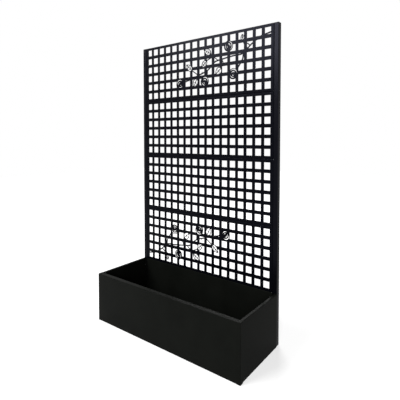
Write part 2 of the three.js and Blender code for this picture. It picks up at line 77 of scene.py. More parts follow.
# Box panels
FRONT_RIM = 16.5 * MM  # also the depth of the folds round the front panel's ends
SIDE_RIM = 11 * MM
RIM_SEAM = 0.3 * MM  # between the front rim and a side rim
RIM_DROP = 4 * MM  # a side panel's front corner stays this far under the front rim
REAR_FLANGE = 17.5 * MM
FLANGE_NOTCH = 5 * MM  # the rear flange is narrower over this height, at its top and its foot
LEDGE = 16 * MM
LEDGE_PLAY = 1.8 * MM  # between the front panel's ledge and the ledges of the side panels
LEDGE_NOTCH_WIDTH = 1.5 * MM  # notch in the front panel, at each end of its ledge
LEDGE_NOTCH_HEIGHT = 3 * MM
BACK_FOLD = 12 * MM
DRAIN_RADIUS = 5 * MM
DRAIN_COLUMNS = 5
DRAIN_ROWS = 2
DRAIN_PITCH_X = 130 * MM
DRAIN_PITCH_Y = 110 * MM

# Caps and feet of the posts
CAP_PLATE = 2 * MM  # the part that shows
CAP_EDGE = 0.9 * MM  # rounding of its outer edge
CAP_EDGE_STEPS = 4
CAP_CHAMFER = 0.2 * MM  # on the side of the tube
CAP_DOME = 0.1 * MM  # how far its middle stands out past its edge
PLUG_PLAY = 0.3 * MM  # room between the plug and the tube
PLUG_CORNER = 0.9 * MM
PLUG_LEAD = 2 * MM  # length of the taper at the plug's end
PLUG_TAPER = 1.2 * MM  # how much the taper takes off each side

# Rose vine
STEM_WIDTH = 5.6 * MM
TWIG_WIDTH = 4.2 * MM
RIBBON_STEPS = 6  # between two given points of a stem
ROSE_RADIUS = 22.2 * MM
ROSE_SIDES = 48
PETAL_SLIT = 3.6 * MM
PETAL_STEPS = 16
LEAF_LENGTH = 48 * MM
LEAF_WIDTH = 28 * MM
LEAF_BELLY = 0.85  # the lower, the nearer a leaf's widest part lies to its base
LEAF_STEPS = 14
LEAF_RIM = 3 * MM
LEAF_RIB = 2.8 * MM
LEAF_VEIN = 2.8 * MM
THORN_LENGTH = 5 * MM
THORN_BASE = 5 * MM
LEAST_OPENING = 5 * MM * MM  # a smaller gap beside the vine isn't cut

# Fasteners
THREAD_RADIUS = 2.5 * MM
SCREW_TIP = 0.7 * MM
HEAD_RADIUS = 4.4 * MM
HEAD_TOP_RADIUS = 2.9 * MM
HEAD_HEIGHT = 2.7 * MM
HEAD_LIP = 0.2 * MM  # chamfer round the underside of the head
HEAD_STEPS = 6
RECESS_LENGTH = 4.2 * MM
RECESS_WIDTH = 1.1 * MM
RECESS_DEPTH = 1.5 * MM
NUT_FLATS = 8 * MM
NUT_HEIGHT = 4 * MM
BORE_PLAY = 0.15 * MM  # room between a nut and the thread in it
FASTENER_EDGE = 0.12 * MM
ROUND_SIDES = 32

# Meshes
NEAR = 0.01 * MM  # corners that lie closer than this are one
WELD = 0.12 * MM  # the same for crossing shapes of the vine and the lattice
SCREW_WELD = 0.005 * MM
CROSSING = 0.001 * MM  # the same while flat shapes are cut by each other
FOLD_ANGLE = math.radians(45)  # faces that meet at a sharper angle make a fold or a cut edge
ROUNDED_ANGLE = math.radians(50)  # the same for the edges of posts and fasteners
STRAIGHT = 0.9999  # share of a straight cut's length that lies along one axis

ACROSS = Vector((1, 0, 0))
BACKWARDS = Vector((0, 1, 0))
UP = Vector((0, 0, 1))

# ---------------------------------------------------------------- meshes


def add_piece(name, mesh, material, node):
    """A new piece from a bmesh. It stands for the named CAD node."""
    data = bpy.data.meshes.new(name)
    mesh.to_mesh(data)
    mesh.free()
    data.shade_smooth()
    data.materials.append(material)
    piece = bpy.data.objects.new(name, data)
    bpy.context.scene.collection.objects.link(piece)
    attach(piece, "root")
    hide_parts(node)
    return piece


def shift(mesh, offset):
    bmesh.ops.translate(mesh, verts=mesh.verts, vec=offset)


def turn(mesh, degrees, axis):
    """Turns a mesh about an axis through the origin, named by its letter."""
    rotation = Matrix.Rotation(math.radians(degrees), 3, axis)
    bmesh.ops.rotate(mesh, verts=mesh.verts, matrix=rotation)


def pull(mesh, extruded, offset):
    """Moves the new corners of an extrusion, and returns them."""
    corners = [item for item in extruded["geom"] if isinstance(item, bmesh.types.BMVert)]
    bmesh.ops.translate(mesh, verts=corners, vec=offset)
    return corners


def round_edges(piece, width, only_marked=False):
    """Rounds the sharp edges of a piece, or only those with a bevel weight."""
    bevel = piece.modifiers.new("cut edges", "BEVEL")
    bevel.width = width
    bevel.segments = 2
    bevel.limit_method = "WEIGHT" if only_marked else "ANGLE"
    bevel.angle_limit = ROUNDED_ANGLE
    bevel.use_clamp_overlap = False
    weighted = piece.modifiers.new("flat faces stay flat", "WEIGHTED_NORMAL")
    weighted.keep_sharp = True


def thicken(piece):
    """Gives an open surface the thickness of the box sheet, behind its faces."""
    solid = piece.modifiers.new("thickness", "SOLIDIFY")
    solid.thickness = BOX_SHEET
    solid.offset = -1
    solid.use_even_offset = True


def edge_run(edge):
    return edge.verts[1].co - edge.verts[0].co


def edge_middle(edge):
    return (edge.verts[0].co + edge.verts[1].co) / 2


def mark_cuts(mesh, is_cut):
    """Marks straight cut edges for rounding. The others, such as those of the vine, stay crisp."""
    weight = mesh.edges.layers.float.new("bevel_weight_edge")
    for edge in filter(is_cut, mesh.edges):
        run = edge_run(edge)
        along_axis = max(abs(length) for length in run) > STRAIGHT * run.length
        if along_axis and run.length > SHORTEST_ROUNDED:
            edge[weight] = 1
        else:
            edge.smooth = False


def face_towards(mesh, direction):
    """Turns all faces of an open surface so that its largest one faces a direction."""
    bmesh.ops.recalc_face_normals(mesh, faces=mesh.faces)
    largest = max(mesh.faces, key=lambda face: face.calc_area())
    if largest.normal.dot(direction) < 0:
        bmesh.ops.reverse_faces(mesh, faces=mesh.faces)


def bend_folds(mesh):
    """Rounds each line where a box sheet is folded. A fold is sharper on its hollow side."""
    mesh.normal_update()
    folds = [edge for edge in mesh.edges if len(edge.link_faces) == 2]
    folds = [edge for edge in folds if edge.calc_face_angle() > FOLD_ANGLE]
    hollow = [edge for edge in folds if not edge.is_convex]
    proud = [edge for edge in folds if edge.is_convex]
    for edges, radius in ((proud, BEND + BOX_SHEET), (hollow, BEND)):
        if edges:
            bmesh.ops.bevel(
                mesh,
                geom=edges,
                offset=radius,
                offset_type="OFFSET",
                segments=BEND_STEPS,
                profile=0.5,
                affect="EDGES",
            )


def surface_of(polygons):
    """An open surface of flat polygons in space that share their corners."""
    mesh = bmesh.new()
    for polygon in polygons:
        mesh.faces.new([mesh.verts.new(corner) for corner in polygon])
    bmesh.ops.remove_doubles(mesh, verts=mesh.verts, dist=NEAR)
    return mesh


def add_box_sheet(node, mesh, facing, material):
    """A folded sheet of the box that stands for a node, from its outer surface."""
    face_towards(mesh, facing)
    bend_folds(mesh)
    mark_cuts(mesh, lambda edge: edge.is_boundary)
    sheet = add_piece(f"{node}_sheet", mesh, material, node)
    thicken(sheet)
    round_edges(sheet, CUT_EDGE, only_marked=True)


# ---------------------------------------------------------------- flat outlines


def polar(centre, radius, angle):
    return centre + Vector((math.cos(angle), math.sin(angle))) * radius


def ring(centre, radius, sides):
    return [polar(centre, radius, math.tau * i / sides) for i in range(sides)]


def rounded_box(low, high, radius, steps):
    """A rectangle with round corners, counterclockwise from the lower left."""
    corners = [
        (low.x + radius, low.y + radius, 180),
        (high.x - radius, low.y + radius, 270),
        (high.x - radius, high.y - radius, 0),
        (low.x + radius, high.y - radius, 90),
    ]
    outline = []
    for x, y, start in corners:
        for i in range(steps + 1):
            outline.append(polar(Vector((x, y)), radius, math.radians(start + 90 * i / steps)))
    return outline


def four_quarters(quarter):
    """A whole outline from its upper right quarter, counterclockwise."""
    top_left = [(-x, z) for x, z in reversed(quarter)]
    half = quarter + top_left
    return [Vector(point) for point in half] + [Vector((-x, -z)) for x, z in half]


def notched_box(half_width, half_height, notch):
    """A rectangle with a square notch in each corner."""
    x, z = half_width - notch, half_height - notch
    return four_quarters([(half_width, z), (x, z), (x, half_height)])


def counterclockwise(outline):
    pairs = zip(outline, outline[1:] + outline[:1])
    if sum(a.x * b.y - b.x * a.y for a, b in pairs) < 0:
        return outline[::-1]
    return list(outline)


def islands(faces):
    """Parts a set of faces into groups that hang together."""
    left = set(faces)
    while left:
        island = [left.pop()]
        for face in island:
            for edge in face.edges:
                near = [other for other in edge.link_faces if other in left]
                left.difference_update(near)
                island.extend(near)
        yield island


def area_of(faces):
    return sum(face.calc_area() for face in faces)


def flat_sheet(outline, openings=(), vine=(), cuts=(), lines=()):
    """A flat mesh in the XZ plane.

    The vine closes the openings that it crosses, and cuts go through both. Lines only part the
    faces, so that these are well shaped.
    """
    kinds = ["plate"] + ["opening"] * len(openings) + ["vine"] * len(vine) + ["cut"] * len(cuts)
    corners = []
    shapes = []
    for shape in (outline, *openings, *vine, *cuts):
        first = len(corners)
        corners.extend(counterclockwise(shape))
        shapes.append(list(range(first, len(corners))))
    edges = []
    for line in lines:
        edges.append((len(corners), len(corners) + 1))
        corners.extend(line)
    triangles_inside = 1
    made = delaunay_2d_cdt(corners, edges, shapes, triangles_inside, CROSSING, True)
    points, polygons, owners = made[0], made[2], made[5]

    mesh = bmesh.new()
    verts = [mesh.verts.new((point.x, 0, point.y)) for point in points]
    solid = set()
    for polygon, held_by in zip(polygons, owners):
        face = mesh.faces.new([verts[i] for i in polygon])
        found = {kinds[i] for i in held_by}
        covered = "opening" not in found or "vine" in found
        if "plate" in found and covered and "cut" not in found:
            solid.add(face)
    clear_voids(mesh, solid)
    bmesh.ops.remove_doubles(mesh, verts=mesh.verts, dist=WELD)
    bare = [edge for edge in mesh.edges if edge.is_wire]
    bmesh.ops.delete(mesh, geom=bare, context="EDGES")
    return mesh


def clear_voids(mesh, solid):
    """Keeps the solid faces that hang together, closes small gaps, and deletes the rest."""
    for gap in islands(set(mesh.faces) - solid):
        if area_of(gap) < LEAST_OPENING:
            solid.update(gap)
    held = set(max(islands(solid), key=area_of))
    voids = [face for face in mesh.faces if face not in held]
    bmesh.ops.delete(mesh, geom=voids, context="FACES")


def fold_ends(mesh, half_height, depth):
    """Folds the borders at both ends of a flat sheet."""
    border = []
    for edge in mesh.edges:
        on_end = abs(abs(edge_middle(edge).z) - half_height) < NEAR
        if edge.is_boundary and on_end:
            border.append(edge)
    pull(mesh, bmesh.ops.extrude_edge_only(mesh, edges=border), BACKWARDS * depth)


# ---------------------------------------------------------------- rose vine

# Places are column and row of the lattice, column 0 at the left and row 0 the highest.
# Angles are in degrees, counterclockwise from +X. Long and wide are shares of the usual leaf.
ROSES = [
    {"centre": (11.46, 0.76), "turn": 285},
    {"centre": (12.05, 3.55), "turn": 350},
    {"centre": (8.38, 4.0), "turn": 330},
    {"centre": (4.84, 3.98), "turn": 40},
]

# The slits that part the petals of a rose: share of its radius, start, sweep, and width as a share
# of the widest slit's.
PETALS = [
    (0.8, 0, 170, 1),
    (0.66, 200, 110, 0.8),
    (0.4, 30, 160, 0.9),
    (0.3, 225, 90, 0.7),
]

LEAVES = [
    {"base": (9.27, 1.27), "heading": 150, "long": 1, "wide": 1, "veins": 3},
    {"base": (8.7, 1.85), "heading": 221, "long": 0.88, "wide": 0.96, "veins": 3},
    {"base": (6.66, 2.74), "heading": 138, "long": 1, "wide": 0.96, "veins": 3},
    {"base": (7.34, 3.52), "heading": 242, "long": 0.96, "wide": 1.04, "veins": 2},
    {"base": (10.62, 2.78), "heading": 218, "long": 0.88, "wide": 1.1, "veins": 2},
    {"base": (13.2, 0.5), "heading": 97, "long": 0.58, "wide": 0.68, "veins": 2},
]

# The long stem runs from the upper right to the rose at the lower left, and the other hangs from it.
STEMS = [
    [(16.5, 0.12), (15.2, 0.42), (14.2, 0.95), (13.2, 1.7), (12.1, 1.79), (10.9, 1.93),
     (9.7, 2.14), (8.8, 2.86), (7.3, 3.34), (5.3, 3.9)],
    [(13.25, 1.66), (13.14, 2.3), (12.45, 3.2)],
]

# Each joins a leaf or a rose to a stem, apart from the last, which ends bare.
TWIGS = [
    [(11.3, 1.85), (11.55, 1.5), (11.5, 1.1)],
    [(8.75, 2.9), (8.72, 3.3), (8.5, 3.7)],
    [(7.5, 3.3), (7.1, 3.0), (6.55, 2.66)],
    [(10.2, 2.05), (9.5, 1.62), (8.62, 1.88)],
    [(9.6, 1.66), (9.45, 1.45), (9.15, 1.2)],
    [(7.35, 3.3), (7.32, 3.45), (7.26, 3.66)],
    [(10.6, 1.95), (10.78, 2.35), (10.52, 2.86)],
    [(13.75, 1.28), (13.4, 0.9), (13.2, 0.42)],
    [(14.0, 1.08), (13.8, 0.85), (13.5, 0.76)],
]

THORNS = [
    {"foot": (15.2, 0.42), "heading": 60},
    {"foot": (12.6, 1.62), "heading": 250},
    {"foot": (9.9, 2.1), "heading": 130},
    {"foot": (8.0, 3.12), "heading": 80},
    {"foot": (6.2, 3.64), "heading": 260},
]


def on_lattice(column, row):
    return Vector(((column - (COLUMNS - 1) / 2) * PITCH, ((ROWS - 1) / 2 - row) * PITCH))


def smooth_line(points, steps):
    """Points of a smooth line through the given ones, steps to each span."""
    line = []
    last = len(points) - 1
    for i in range(last):
        before, start = points[max(i - 1, 0)], points[i]
        end, after = points[i + 1], points[min(i + 2, last)]
        leave = (end - before) / 2
        arrive = (after - start) / 2
        for step in range(steps):
            t = step / steps
            cubic = (2 * start - 2 * end + leave + arrive) * t**3
            square = (3 * end - 3 * start - 2 * leave - arrive) * t**2
            line.append(cubic + square + leave * t + start)
    return line + [points[-1]]


def ribbon(places, width):
    """A strip along a smooth line, with pointed ends."""
    line = smooth_line([on_lattice(*place) for place in places], RIBBON_STEPS)
    left = []
    right = []
    for i, point in enumerate(line):
        along = (line[min(i + 1, len(line) - 1)] - line[max(i - 1, 0)]).normalized()
        aside = Vector((-along.y, along.x)) * width / 2
        left.append(point + aside)
        right.append(point - aside)
    tip_along = (line[-1] - line[-2]).normalized() * width / 2
    root_along = (line[0] - line[1]).normalized() * width / 2
    return left + [line[-1] + tip_along] + right[::-1] + [line[0] + root_along]


def thorn(foot, heading):
    middle = on_lattice(*foot)
    angle = math.radians(heading)
    return [
        polar(middle, THORN_BASE / 2, angle - math.pi / 2),
        polar(middle, STEM_WIDTH / 2 + THORN_LENGTH, angle),
        polar(middle, THORN_BASE / 2, angle + math.pi / 2),
    ]


def crescent(centre, radius, start, sweep, width):
    """A slit that follows an arc and comes to a point at both ends."""
    outer = []
    inner = []
    for i in range(PETAL_STEPS + 1):
        angle = math.radians(start + sweep * i / PETAL_STEPS)
        half = width / 2 * math.sin(math.pi * i / PETAL_STEPS)
        outer.append(polar(centre, radius + half, angle))
        if 0 < i < PETAL_STEPS:
            inner.append(polar(centre, radius - half, angle))
    return outer + inner[::-1]


def petal_slits(centre, turn):
    middle = on_lattice(*centre)
    return [
        crescent(middle, ROSE_RADIUS * share, turn + start, sweep, PETAL_SLIT * slit)
        for share, start, sweep, slit in PETALS
    ]


def leaf_half_width(leaf, share):
    """Half the width of a leaf, at a share of its length from the base."""
    return leaf["wide"] * LEAF_WIDTH / 2 * math.sin(math.pi * share**LEAF_BELLY)


def leaf_point(leaf, share, across):
    point = Vector((share * leaf["long"] * LEAF_LENGTH, across))
    point.rotate(Matrix.Rotation(math.radians(leaf["heading"]), 2))
    return on_lattice(*leaf["base"]) + point


def leaf_outline(leaf):
    shares = [i / LEAF_STEPS for i in range(1, LEAF_STEPS)]
    left = [leaf_point(leaf, share, leaf_half_width(leaf, share)) for share in shares]
    right = [leaf_point(leaf, share, -leaf_half_width(leaf, share)) for share in shares]
    return [leaf_point(leaf, 0, 0), *left, leaf_point(leaf, 1, 0), *right[::-1]]


def leaf_openings(leaf):
    """The openings between the midrib, the veins and the edge of a leaf."""
    openings = []
    lean = 0.14  # a vein's outer end lies up to this share nearer the tip
    first = 0.1  # where the openings begin along the leaf
    last = 0.82  # where they end
    edge_steps = 4
    vein = LEAF_VEIN / (leaf["long"] * LEAF_LENGTH)
    pitch = (last - first) / leaf["veins"]
    for i in range(leaf["veins"]):
        start = first + i * pitch + vein / 2
        end = first + (i + 1) * pitch - vein / 2
        shift = lean * (1 - i / leaf["veins"])
        for side in (-1, 1):
            rib = side * LEAF_RIB / 2
            opening = [leaf_point(leaf, start, rib), leaf_point(leaf, end, rib)]
            for step in range(edge_steps + 1):
                share = end + shift + (start - end) * step / edge_steps
                across = side * (leaf_half_width(leaf, share) - LEAF_RIM)
                opening.append(leaf_point(leaf, share, across))
            openings.append(opening)
    return openings


def vine_outlines():
    roses = [ring(on_lattice(*rose["centre"]), ROSE_RADIUS, ROSE_SIDES) for rose in ROSES]
    return [
        *roses,
        *[ribbon(places, STEM_WIDTH) for places in STEMS],
        *[ribbon(places, TWIG_WIDTH) for places in TWIGS],
        *[thorn(**spike) for spike in THORNS],
        *[leaf_outline(leaf) for leaf in LEAVES],
    ]


def vine_cuts():
    cuts = []
    for rose in ROSES:
        cuts.extend(petal_slits(**rose))
    for leaf in LEAVES:
        cuts.extend(leaf_openings(leaf))
    return cuts


# ---------------------------------------------------------------- trellis


def square(middle, side):
    half = side / 2
    corners = ((-1, -1), (1, -1), (1, 1), (-1, 1))
    return [middle + Vector(corner) * half for corner in corners]


def lattice_holes():
    places = [(column, row) for column in range(COLUMNS) for row in range(ROWS)]
    return [square(on_lattice(*place), HOLE) for place in places]


def bend_lines(half):
    """Where the blank starts to bend, ends, and has its steps between, on both sides."""
    start = half - LATTICE_BEND
    places = [start + LATTICE_ARC * step / BEND_STEPS for step in range(BEND_STEPS + 1)]
    return places + [-place for place in places]


def blank_lines(half_width, half_height, reach):
    """Lines along the sides of the holes and along the bends, across the whole blank."""
    upright = bend_lines(half_width)
    level = bend_lines(half_height)
    for side in (-HOLE / 2, HOLE / 2):
        upright += [on_lattice(column, 0).x + side for column in range(COLUMNS)]
        level += [on_lattice(0, row).y + side for row in range(ROWS)]
    right, top = half_width + reach, half_height + reach
    lines = [(Vector((x, -top)), Vector((x, top))) for x in upright]
    lines += [(Vector((-right, z)), Vector((right, z))) for z in level]
    return lines


def is_level(edge):
    """Whether an edge lies in one of a blank's two faces, not across its thickness."""
    return abs(edge_run(edge).y) < edge.calc_length() / 2


def make_solid(mesh, thickness):
    """Gives a flat blank its thickness, backwards, and marks its cut edges."""
    pull(mesh, bmesh.ops.extrude_face_region(mesh, geom=mesh.faces[:]), BACKWARDS * thickness)
    bmesh.ops.recalc_face_normals(mesh, faces=mesh.faces)
    mark_cuts(mesh, lambda edge: edge.calc_face_angle(0) > FOLD_ANGLE and is_level(edge))


def bend_borders(mesh, half_width, half_height):
    """Bends a solid blank's borders backwards. The end folds reach over the side folds."""
    for vert in mesh.verts:
        for axis, half in ((2, half_height), (0, half_width)):
            start = half - LATTICE_BEND
            past = abs(vert.co[axis]) - start
            if past > -SLIT / 2:
                angle = max(min(past, LATTICE_ARC), 0) / LATTICE_BEND
                lever = LATTICE_BEND - vert.co.y
                place = min(past, 0) + start + lever * math.sin(angle)
                vert.co[axis] = math.copysign(place, vert.co[axis])
                vert.co.y = LATTICE_BEND - lever * math.cos(angle) + max(past - LATTICE_ARC, 0)
                break


def blank_outline(half_width, half_height, reach):
    """Outline of a lattice panel before it is bent."""
    x, z = half_width - LATTICE_BEND, half_height - LATTICE_BEND
    return four_quarters([
        (half_width + reach, z - SLIT),
        (x, z - SLIT),
        (x, z),
        (half_width, z),
        (half_width, half_height + reach),
    ])


def add_trellis_panel(node, material, with_vine=False, upside_down=False):
    low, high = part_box(node)
    half_width = (high.x - low.x) / 2
    half_height = (high.z - low.z) / 2
    reach = LATTICE_ARC - 2 * LATTICE_BEND + high.y - low.y  # of the blank, past the panel's face
    outline = blank_outline(half_width, half_height, reach)
    lines = blank_lines(half_width, half_height, reach)
    vine = vine_outlines() if with_vine else []
    cuts = vine_cuts() if with_vine else []
    mesh = flat_sheet(outline, lattice_holes(), vine, cuts, lines)
    make_solid(mesh, LATTICE_SHEET)
    bend_borders(mesh, half_width, half_height)
    if upside_down:
        turn(mesh, 180, "Y")
    shift(mesh, (0, low.y, (low.z + high.z) / 2))
    panel = add_piece(f"{node}_sheet", mesh, material, node)
    round_edges(panel, CUT_EDGE, only_marked=True)


def add_trellis(material):
    """Four panels, the lowest first. It is the highest one turned half a turn."""
    add_trellis_panel("rose_panel_low", material, with_vine=True, upside_down=True)
    add_trellis_panel("lattice_panel_low", material)
    add_trellis_panel("lattice_panel_high", material)
    add_trellis_panel("rose_panel_high", material, with_vine=True)


# ---------------------------------------------------------------- box


def add_front_panel(material):
    """Its rim and ledge fold backwards, and so do its ends, over the side panels."""
    low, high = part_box("front_panel")
    front, top, side = low.y, high.z, high.x
    ledge_end = side - LEDGE - LEDGE_PLAY
    notch_end = ledge_end + LEDGE_NOTCH_WIDTH
    right = [
        (ledge_end, 0),
        (ledge_end, LEDGE_NOTCH_HEIGHT),
        (notch_end, LEDGE_NOTCH_HEIGHT),
        (notch_end, 0),
        (side, 0),
        (side, top),
    ]
    left = [(-x, z) for x, z in reversed(right)]
    face = [(x, front, z) for x, z in right + left]
    # The ledge's ends meet the face at its notches, so its corners are the face's own.
    ledge = [
        (-ledge_end, front, 0),
        (ledge_end, front, 0),
        (ledge_end, front + LEDGE, 0),
        (-ledge_end, front + LEDGE, 0),
    ]
    rim = [
        (-side, front, top),
        (side, front, top),
        (side, front + FRONT_RIM, top),
        (-side, front + FRONT_RIM, top),
    ]
    folds = []
    for x in (-side, side):
        folds.append([
            (x, front, 0),
            (x, front, top),
            (x, front + FRONT_RIM, top),
            (x, front + FRONT_RIM, 0),
        ])
    mesh = surface_of([face, ledge, rim, *folds])
    add_box_sheet("front_panel", mesh, -BACKWARDS, material)


def add_side_panel(node, sign, material):
    """Its rim, ledge and rear flange fold inwards."""
    low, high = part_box(node)
    outer = high.x if sign > 0 else low.x
    front, back, top = low.y, high.y, high.z
    rim_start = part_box("front_panel")[0].y + FRONT_RIM + RIM_SEAM
    under_rim = top - RIM_DROP

    def inwards(depth):
        return outer - sign * depth

    face = [
        (outer, front, 0),
        (outer, back, 0),
        (outer, back, top),
        (outer, rim_start, top),
        (outer, rim_start, under_rim),
        (outer, front, under_rim),
    ]
    rim = [
        (outer, rim_start, top),
        (outer, back, top),
        (inwards(SIDE_RIM), back, top),
        (inwards(SIDE_RIM), rim_start, top),
    ]
    ledge = [
        (outer, front, 0),
        (outer, back, 0),
        (inwards(LEDGE), back, 0),
        (inwards(LEDGE), front, 0),
    ]
    flange = [
        (outer, back, 0),
        (outer, back, top),
        (inwards(SIDE_RIM), back, top),
        (inwards(SIDE_RIM), back, top - FLANGE_NOTCH),
        (inwards(REAR_FLANGE), back, top - FLANGE_NOTCH),
        (inwards(REAR_FLANGE), back, FLANGE_NOTCH),
        (inwards(LEDGE), back, FLANGE_NOTCH),
        (inwards(LEDGE), back, 0),
    ]
    mesh = surface_of([face, rim, ledge, flange])
    add_box_sheet(node, mesh, ACROSS * sign, material)


def add_back_panel(material):
    """Its top and sides fold backwards, its ledge forwards. The folds close behind the notches."""
    low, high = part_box("back_panel")
    side, top, rear = high.x, high.z, high.y
    front = rear - BACK_FOLD
    base = BOX_SHEET
    notch_x = side - RELIEF
    notch_y = front + RELIEF
    notch_z = top - RELIEF
    under_top = top - BOX_SHEET - SLIT
    middle = (top + base) / 2
    face = [(p.x, front, p.y + middle) for p in notched_box(side, (top - base) / 2, RELIEF)]
    top_fold = [
        (-notch_x, front, top),
        (notch_x, front, top),
        (notch_x, notch_y, top),
        (side, notch_y, top),
        (side, rear, top),
        (-side, rear, top),
        (-side, notch_y, top),
        (-notch_x, notch_y, top),
    ]
    ledge = [
        (-notch_x, front, base),
        (notch_x, front, base),
        (notch_x, low.y, base),
        (-notch_x, low.y, base),
    ]
    side_folds = []
    for x in (-side, side):
        side_folds.append([
            (x, front, base + RELIEF),
            (x, front, notch_z),
            (x, notch_y, notch_z),
            (x, notch_y, under_top),
            (x, rear, under_top),
            (x, rear, base + RELIEF),
        ])
    mesh = surface_of([face, top_fold, ledge, *side_folds])
    add_box_sheet("back_panel", mesh, -BACKWARDS, material)


def drain_holes():
    drains = []
    for column in range(DRAIN_COLUMNS):
        for row in range(DRAIN_ROWS):
            x = (column - (DRAIN_COLUMNS - 1) / 2) * DRAIN_PITCH_X
            y = (row - (DRAIN_ROWS - 1) / 2) * DRAIN_PITCH_Y
            drains.append(ring(Vector((x, y)), DRAIN_RADIUS, ROUND_SIDES))
    return drains


def add_floor_panel(material):
    """It is drawn upright, with its lips to the front, and then laid on its back."""
    low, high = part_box("floor_panel")
    half = (high - low) / 2
    middle = (high + low) / 2
    outline = [
        Vector((-half.x, -half.y)),
        Vector((half.x, -half.y)),
        Vector((half.x, half.y)),
        Vector((-half.x, half.y)),
    ]
    mesh = flat_sheet(outline, drain_holes())
    fold_ends(mesh, half.y, -(high.z - low.z))
    turn(mesh, -90, "X")
    shift(mesh, (middle.x, middle.y, low.z))
    add_box_sheet("floor_panel", mesh, -UP, material)


# ---------------------------------------------------------------- posts, caps and feet


def loft(loops, closed_start=False, closed_end=False):
    """A surface through loops of as many points each."""
    mesh = bmesh.new()
    rows = [[mesh.verts.new(point) for point in loop] for loop in loops]
    for lower, upper in zip(rows, rows[1:]):
        for i in range(len(lower)):
            j = (i + 1) % len(lower)
            mesh.faces.new([lower[i], lower[j], upper[j], upper[i]])
    if closed_start:
        mesh.faces.new(rows[0][::-1])
    if closed_end:
        mesh.faces.new(rows[-1])
    bmesh.ops.recalc_face_normals(mesh, faces=mesh.faces)
    return mesh


def square_loop(half, corner, z):
    size = Vector((half, half))
    return [(p.x, p.y, z) for p in rounded_box(-size, size, corner, TUBE_CORNER_STEPS)]


def add_post(node, material):
    low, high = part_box(node)
    half = (high.x - low.x) / 2
    inner = half - POST_WALL
    inner_corner = TUBE_CORNER - POST_WALL
    loops = [
        square_loop(half, TUBE_CORNER, low.z),
        square_loop(half, TUBE_CORNER, high.z),
        square_loop(inner, inner_corner, high.z),
        square_loop(inner, inner_corner, low.z),
    ]
    mesh = loft(loops + loops[:1])
    bmesh.ops.remove_doubles(mesh, verts=mesh.verts, dist=NEAR)
    bmesh.ops.recalc_face_normals(mesh, faces=mesh.faces)
    shift(mesh, ((low.x + high.x) / 2, (low.y + high.y) / 2, 0))
    tube = add_piece(f"{node}_tube", mesh, material, node)
    round_edges(tube, CUT_EDGE)


def plug_loops(half, length):
    """Loops from the plug's end inside the tube to the top of its plate, at z = 0."""
    plug_half = half - POST_WALL - PLUG_PLAY
    loops = [
        square_loop(plug_half - PLUG_TAPER, PLUG_CORNER, -length),
        square_loop(plug_half, PLUG_CORNER, -length + PLUG_LEAD),
        square_loop(plug_half, PLUG_CORNER, -CAP_PLATE),
        square_loop(half - CAP_CHAMFER, TUBE_CORNER, -CAP_PLATE),
        square_loop(half, TUBE_CORNER, -CAP_PLATE + CAP_CHAMFER),
        square_loop(half, TUBE_CORNER, -CAP_EDGE),
    ]
    for step in range(1, CAP_EDGE_STEPS + 1):
        angle = math.pi / 2 * step / CAP_EDGE_STEPS
        inset = CAP_EDGE * (1 - math.cos(angle))
        height = -CAP_EDGE + (CAP_EDGE - CAP_DOME) * math.sin(angle)
        loops.append(square_loop(half - inset, TUBE_CORNER, height))
    loops.append(square_loop(half / 2, TUBE_CORNER, 0))
    return loops


def add_plug(node, material, up):
    """The plastic plug in the end of a post. Its plate shows, with a rounded edge."""
    low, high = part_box(node)
    half = (high.x - low.x) / 2
    mesh = loft(plug_loops(half, high.z - low.z), closed_start=True, closed_end=True)
    if not up:
        turn(mesh, 180, "X")
    end = high.z if up else low.z
    shift(mesh, ((low.x + high.x) / 2, (low.y + high.y) / 2, end))
    add_piece(f"{node}_plug", mesh, material, node)


# ---------------------------------------------------------------- fasteners


def turned(profile):
    """A round body from (radius, height) pairs, around the Z axis, open at its last pair."""
    axis = Vector((0, 0))
    loops = []
    for radius, height in profile:
        loops.append([(*point, height) for point in ring(axis, radius, ROUND_SIDES)])
    return loft(loops, closed_start=True)


def cross_outline():
    long, wide = RECESS_LENGTH / 2, RECESS_WIDTH / 2
    quarter = [(long, -wide), (long, wide), (wide, wide)]
    outline = []
    for i in range(4):
        for x, y in quarter:
            point = Vector((x, y))
            point.rotate(Matrix.Rotation(i * math.pi / 2, 2))
            outline.append(point)
    return outline


def screw_profile(length):
    """(Radius, height) pairs from the tip of a screw to the flat top of its head."""
    profile = [
        (THREAD_RADIUS - SCREW_TIP, -length),
        (THREAD_RADIUS, -length + SCREW_TIP),
        (THREAD_RADIUS, 0),
        (HEAD_RADIUS - HEAD_LIP, 0),
        (HEAD_RADIUS, HEAD_LIP),
    ]
    for step in range(1, HEAD_STEPS + 1):
        angle = math.pi / 2 * step / HEAD_STEPS
        radius = HEAD_TOP_RADIUS + (HEAD_RADIUS - HEAD_TOP_RADIUS) * math.cos(angle)
        height = HEAD_LIP + (HEAD_HEIGHT - HEAD_LIP) * math.sin(angle)
        profile.append((radius, height))
    return profile


def recessed_top():
    """The flat top of a screw's head, with its cross recess."""
    mesh = flat_sheet(ring(Vector((0, 0)), HEAD_TOP_RADIUS, ROUND_SIDES), [cross_outline()])
    turn(mesh, 90, "X")
    border = [edge for edge in mesh.edges if edge.is_boundary]
    past_recess = (RECESS_LENGTH / 2 + HEAD_TOP_RADIUS) / 2
    recess = [edge for edge in border if edge_middle(edge).to_2d().length < past_recess]
    bottom = pull(mesh, bmesh.ops.extrude_edge_only(mesh, edges=recess), -UP * RECESS_DEPTH)
    border = [edge for edge in mesh.edges if edge.is_boundary]
    bottom_edges = [edge for edge in border if set(edge.verts) <= set(bottom)]
    bmesh.ops.contextual_create(mesh, geom=bottom_edges)
    shift(mesh, UP * HEAD_HEIGHT)
    return mesh


def join(mesh, other):
    """Adds the faces of another bmesh, and frees that one."""
    data = bpy.data.meshes.new("joined")
    other.to_mesh(data)
    other.free()
    mesh.from_mesh(data)
    bpy.data.meshes.remove(data)


